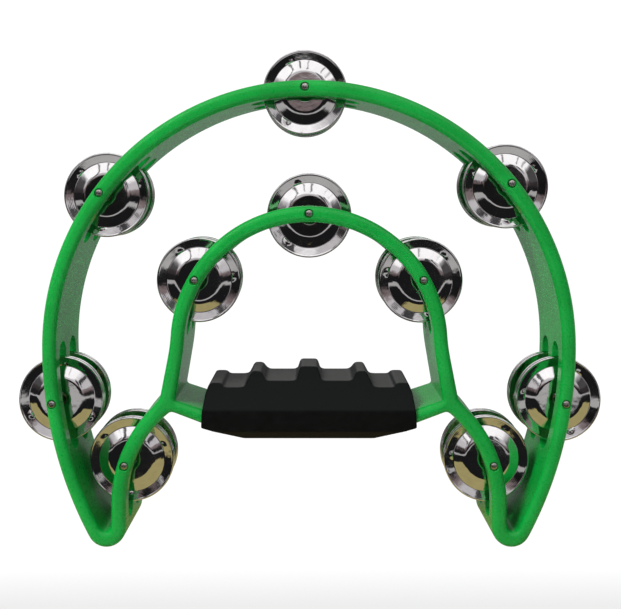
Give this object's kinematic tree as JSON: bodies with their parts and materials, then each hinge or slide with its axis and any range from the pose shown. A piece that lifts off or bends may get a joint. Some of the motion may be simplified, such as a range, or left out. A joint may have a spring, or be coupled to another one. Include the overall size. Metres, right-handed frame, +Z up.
{
  "type": "tambourine",
  "caption": "Half-moon hand tambourine: slotted plastic band with jingle pairs on pins, inner arch and a ridged rubber grip.",
  "frame": {"origin": "midway between the two tips at their lowest points, in the middle of the frame's depth", "axes": "+Z up from the tips to the top of the band; +X to the right of a person facing the front; the front, where the pin heads show, faces -Y"},
  "size_m": [0.2764, 0.0488, 0.2308],
  "materials": {
    "green_plastic": "glossy moulded green plastic",
    "black_rubber": "matt black moulded rubber",
    "pin_steel": "plain steel, turned heads",
    "jingle_nickel": "bright nickel-plated pressed steel sheet"
  },
  "bodies": {
    "frame": {"frame": "green_plastic", "grip": "black_rubber", "pin_top": "pin_steel", "pin_upper_left": "pin_steel", "pin_upper_right": "pin_steel", "pin_lower_left": "pin_steel", "pin_lower_right": "pin_steel", "pin_arch_top": "pin_steel", "pin_arch_left": "pin_steel", "pin_arch_right": "pin_steel", "pin_leg_left": "pin_steel", "pin_leg_right": "pin_steel"},
    "jingle_top_front_b": {"jingle_top_front_b": "jingle_nickel"},
    "jingle_top_front_a": {"jingle_top_front_a": "jingle_nickel"},
    "jingle_top_rear_b": {"jingle_top_rear_b": "jingle_nickel"},
    "jingle_top_rear_a": {"jingle_top_rear_a": "jingle_nickel"},
    "jingle_upper_left_front_b": {"jingle_upper_left_front_b": "jingle_nickel"},
    "jingle_upper_left_front_a": {"jingle_upper_left_front_a": "jingle_nickel"},
    "jingle_upper_left_rear_b": {"jingle_upper_left_rear_b": "jingle_nickel"},
    "jingle_upper_left_rear_a": {"jingle_upper_left_rear_a": "jingle_nickel"},
    "jingle_upper_right_front_b": {"jingle_upper_right_front_b": "jingle_nickel"},
    "jingle_upper_right_front_a": {"jingle_upper_right_front_a": "jingle_nickel"},
    "jingle_upper_right_rear_b": {"jingle_upper_right_rear_b": "jingle_nickel"},
    "jingle_upper_right_rear_a": {"jingle_upper_right_rear_a": "jingle_nickel"},
    "jingle_lower_left_front_b": {"jingle_lower_left_front_b": "jingle_nickel"},
    "jingle_lower_left_front_a": {"jingle_lower_left_front_a": "jingle_nickel"},
    "jingle_lower_left_rear_b": {"jingle_lower_left_rear_b": "jingle_nickel"},
    "jingle_lower_left_rear_a": {"jingle_lower_left_rear_a": "jingle_nickel"},
    "jingle_lower_right_front_b": {"jingle_lower_right_front_b": "jingle_nickel"},
    "jingle_lower_right_front_a": {"jingle_lower_right_front_a": "jingle_nickel"},
    "jingle_lower_right_rear_b": {"jingle_lower_right_rear_b": "jingle_nickel"},
    "jingle_lower_right_rear_a": {"jingle_lower_right_rear_a": "jingle_nickel"},
    "jingle_arch_top_front_b": {"jingle_arch_top_front_b": "jingle_nickel"},
    "jingle_arch_top_front_a": {"jingle_arch_top_front_a": "jingle_nickel"},
    "jingle_arch_top_rear_b": {"jingle_arch_top_rear_b": "jingle_nickel"},
    "jingle_arch_top_rear_a": {"jingle_arch_top_rear_a": "jingle_nickel"},
    "jingle_arch_left_front_b": {"jingle_arch_left_front_b": "jingle_nickel"},
    "jingle_arch_left_front_a": {"jingle_arch_left_front_a": "jingle_nickel"},
    "jingle_arch_left_rear_b": {"jingle_arch_left_rear_b": "jingle_nickel"},
    "jingle_arch_left_rear_a": {"jingle_arch_left_rear_a": "jingle_nickel"},
    "jingle_arch_right_front_b": {"jingle_arch_right_front_b": "jingle_nickel"},
    "jingle_arch_right_front_a": {"jingle_arch_right_front_a": "jingle_nickel"},
    "jingle_arch_right_rear_b": {"jingle_arch_right_rear_b": "jingle_nickel"},
    "jingle_arch_right_rear_a": {"jingle_arch_right_rear_a": "jingle_nickel"},
    "jingle_leg_left_front_b": {"jingle_leg_left_front_b": "jingle_nickel"},
    "jingle_leg_left_front_a": {"jingle_leg_left_front_a": "jingle_nickel"},
    "jingle_leg_left_rear_b": {"jingle_leg_left_rear_b": "jingle_nickel"},
    "jingle_leg_left_rear_a": {"jingle_leg_left_rear_a": "jingle_nickel"},
    "jingle_leg_right_front_b": {"jingle_leg_right_front_b": "jingle_nickel"},
    "jingle_leg_right_front_a": {"jingle_leg_right_front_a": "jingle_nickel"},
    "jingle_leg_right_rear_b": {"jingle_leg_right_rear_b": "jingle_nickel"},
    "jingle_leg_right_rear_a": {"jingle_leg_right_rear_a": "jingle_nickel"}
  },
  "joints": [
    {"name": "top_front_spin", "type": "hinge", "parent": "frame", "child": "jingle_top_front_b", "pos_m": [-0.00188, 0, 0.21083], "axis": [0, 1, 0], "continuous": true},
    {"name": "top_front_clash", "type": "slide", "parent": "jingle_top_front_b", "child": "jingle_top_front_a", "axis": [0, 1, 0], "range_m": [-0.0034, 0.0002]},
    {"name": "top_rear_spin", "type": "hinge", "parent": "frame", "child": "jingle_top_rear_b", "pos_m": [-0.00188, 0, 0.21083], "axis": [0, 1, 0], "continuous": true},
    {"name": "top_rear_clash", "type": "slide", "parent": "jingle_top_rear_b", "child": "jingle_top_rear_a", "axis": [0, 1, 0], "range_m": [-0.0034, 0.0002]},
    {"name": "upper_left_front_spin", "type": "hinge", "parent": "frame", "child": "jingle_upper_left_front_b", "pos_m": [-0.09581, 0, 0.16219], "axis": [0, 1, 0], "continuous": true},
    {"name": "upper_left_front_clash", "type": "slide", "parent": "jingle_upper_left_front_b", "child": "jingle_upper_left_front_a", "axis": [0, 1, 0], "range_m": [-0.0034, 0.0002]},
    {"name": "upper_left_rear_spin", "type": "hinge", "parent": "frame", "child": "jingle_upper_left_rear_b", "pos_m": [-0.09651, 0, 0.16199], "axis": [0, 1, 0], "continuous": true},
    {"name": "upper_left_rear_clash", "type": "slide", "parent": "jingle_upper_left_rear_b", "child": "jingle_upper_left_rear_a", "axis": [0, 1, 0], "range_m": [-0.0034, 0.0002]},
    {"name": "upper_right_front_spin", "type": "hinge", "parent": "frame", "child": "jingle_upper_right_front_b", "pos_m": [0.09309, 0, 0.1663], "axis": [0, 1, 0], "continuous": true},
    {"name": "upper_right_front_clash", "type": "slide", "parent": "jingle_upper_right_front_b", "child": "jingle_upper_right_front_a", "axis": [0, 1, 0], "range_m": [-0.0034, 0.0002]},
    {"name": "upper_right_rear_spin", "type": "hinge", "parent": "frame", "child": "jingle_upper_right_rear_b", "pos_m": [0.0932, 0, 0.1663], "axis": [0, 1, 0], "continuous": true},
    {"name": "upper_right_rear_clash", "type": "slide", "parent": "jingle_upper_right_rear_b", "child": "jingle_upper_right_rear_a", "axis": [0, 1, 0], "range_m": [-0.0034, 0.0002]},
    {"name": "lower_left_front_spin", "type": "hinge", "parent": "frame", "child": "jingle_lower_left_front_b", "pos_m": [-0.11706, 0, 0.06573], "axis": [0, 1, 0], "continuous": true},
    {"name": "lower_left_front_clash", "type": "slide", "parent": "jingle_lower_left_front_b", "child": "jingle_lower_left_front_a", "axis": [0, 1, 0], "range_m": [-0.0034, 0.0002]},
    {"name": "lower_left_rear_spin", "type": "hinge", "parent": "frame", "child": "jingle_lower_left_rear_b", "pos_m": [-0.11816, 0, 0.06483], "axis": [0, 1, 0], "continuous": true},
    {"name": "lower_left_rear_clash", "type": "slide", "parent": "jingle_lower_left_rear_b", "child": "jingle_lower_left_rear_a", "axis": [0, 1, 0], "range_m": [-0.0034, 0.0002]},
    {"name": "lower_right_front_spin", "type": "hinge", "parent": "frame", "child": "jingle_lower_right_front_b", "pos_m": [0.11786, 0, 0.06563], "axis": [0, 1, 0], "continuous": true},
    {"name": "lower_right_front_clash", "type": "slide", "parent": "jingle_lower_right_front_b", "child": "jingle_lower_right_front_a", "axis": [0, 1, 0], "range_m": [-0.0034, 0.0002]},
    {"name": "lower_right_rear_spin", "type": "hinge", "parent": "frame", "child": "jingle_lower_right_rear_b", "pos_m": [0.11816, 0, 0.06483], "axis": [0, 1, 0], "continuous": true},
    {"name": "lower_right_rear_clash", "type": "slide", "parent": "jingle_lower_right_rear_b", "child": "jingle_lower_right_rear_a", "axis": [0, 1, 0], "range_m": [-0.0034, 0.0002]},
    {"name": "arch_top_front_spin", "type": "hinge", "parent": "frame", "child": "jingle_arch_top_front_b", "pos_m": [0.0001, 0, 0.1525], "axis": [0, 1, 0], "continuous": true},
    {"name": "arch_top_front_clash", "type": "slide", "parent": "jingle_arch_top_front_b", "child": "jingle_arch_top_front_a", "axis": [0, 1, 0], "range_m": [-0.0034, 0.0002]},
    {"name": "arch_top_rear_spin", "type": "hinge", "parent": "frame", "child": "jingle_arch_top_rear_b", "pos_m": [0, 0, 0.1525], "axis": [0, 1, 0], "continuous": true},
    {"name": "arch_top_rear_clash", "type": "slide", "parent": "jingle_arch_top_rear_b", "child": "jingle_arch_top_rear_a", "axis": [0, 1, 0], "range_m": [-0.0034, 0.0002]},
    {"name": "arch_left_front_spin", "type": "hinge", "parent": "frame", "child": "jingle_arch_left_front_b", "pos_m": [-0.05204, 0, 0.12194], "axis": [0, 1, 0], "continuous": true},
    {"name": "arch_left_front_clash", "type": "slide", "parent": "jingle_arch_left_front_b", "child": "jingle_arch_left_front_a", "axis": [0, 1, 0], "range_m": [-0.0034, 0.0002]},
    {"name": "arch_left_rear_spin", "type": "hinge", "parent": "frame", "child": "jingle_arch_left_rear_b", "pos_m": [-0.05274, 0, 0.12174], "axis": [0, 1, 0], "continuous": true},
    {"name": "arch_left_rear_clash", "type": "slide", "parent": "jingle_arch_left_rear_b", "child": "jingle_arch_left_rear_a", "axis": [0, 1, 0], "range_m": [-0.0034, 0.0002]},
    {"name": "arch_right_front_spin", "type": "hinge", "parent": "frame", "child": "jingle_arch_right_front_b", "pos_m": [0.05274, 0, 0.12174], "axis": [0, 1, 0], "continuous": true},
    {"name": "arch_right_front_clash", "type": "slide", "parent": "jingle_arch_right_front_b", "child": "jingle_arch_right_front_a", "axis": [0, 1, 0], "range_m": [-0.0034, 0.0002]},
    {"name": "arch_right_rear_spin", "type": "hinge", "parent": "frame", "child": "jingle_arch_right_rear_b", "pos_m": [0.05274, 0, 0.12174], "axis": [0, 1, 0], "continuous": true},
    {"name": "arch_right_rear_clash", "type": "slide", "parent": "jingle_arch_right_rear_b", "child": "jingle_arch_right_rear_a", "axis": [0, 1, 0], "range_m": [-0.0034, 0.0002]},
    {"name": "leg_left_front_spin", "type": "hinge", "parent": "frame", "child": "jingle_leg_left_front_b", "pos_m": [-0.08395, 0, 0.03723], "axis": [0, 1, 0], "continuous": true},
    {"name": "leg_left_front_clash", "type": "slide", "parent": "jingle_leg_left_front_b", "child": "jingle_leg_left_front_a", "axis": [0, 1, 0], "range_m": [-0.0034, 0.0002]},
    {"name": "leg_left_rear_spin", "type": "hinge", "parent": "frame", "child": "jingle_leg_left_rear_b", "pos_m": [-0.08495, 0, 0.03643], "axis": [0, 1, 0], "continuous": true},
    {"name": "leg_left_rear_clash", "type": "slide", "parent": "jingle_leg_left_rear_b", "child": "jingle_leg_left_rear_a", "axis": [0, 1, 0], "range_m": [-0.0034, 0.0002]},
    {"name": "leg_right_front_spin", "type": "hinge", "parent": "frame", "child": "jingle_leg_right_front_b", "pos_m": [0.08385, 0, 0.03743], "axis": [0, 1, 0], "continuous": true},
    {"name": "leg_right_front_clash", "type": "slide", "parent": "jingle_leg_right_front_b", "child": "jingle_leg_right_front_a", "axis": [0, 1, 0], "range_m": [-0.0034, 0.0002]},
    {"name": "leg_right_rear_spin", "type": "hinge", "parent": "frame", "child": "jingle_leg_right_rear_b", "pos_m": [0.08495, 0, 0.03643], "axis": [0, 1, 0], "continuous": true},
    {"name": "leg_right_rear_clash", "type": "slide", "parent": "jingle_leg_right_rear_b", "child": "jingle_leg_right_rear_a", "axis": [0, 1, 0], "range_m": [-0.0034, 0.0002]}
  ]
}
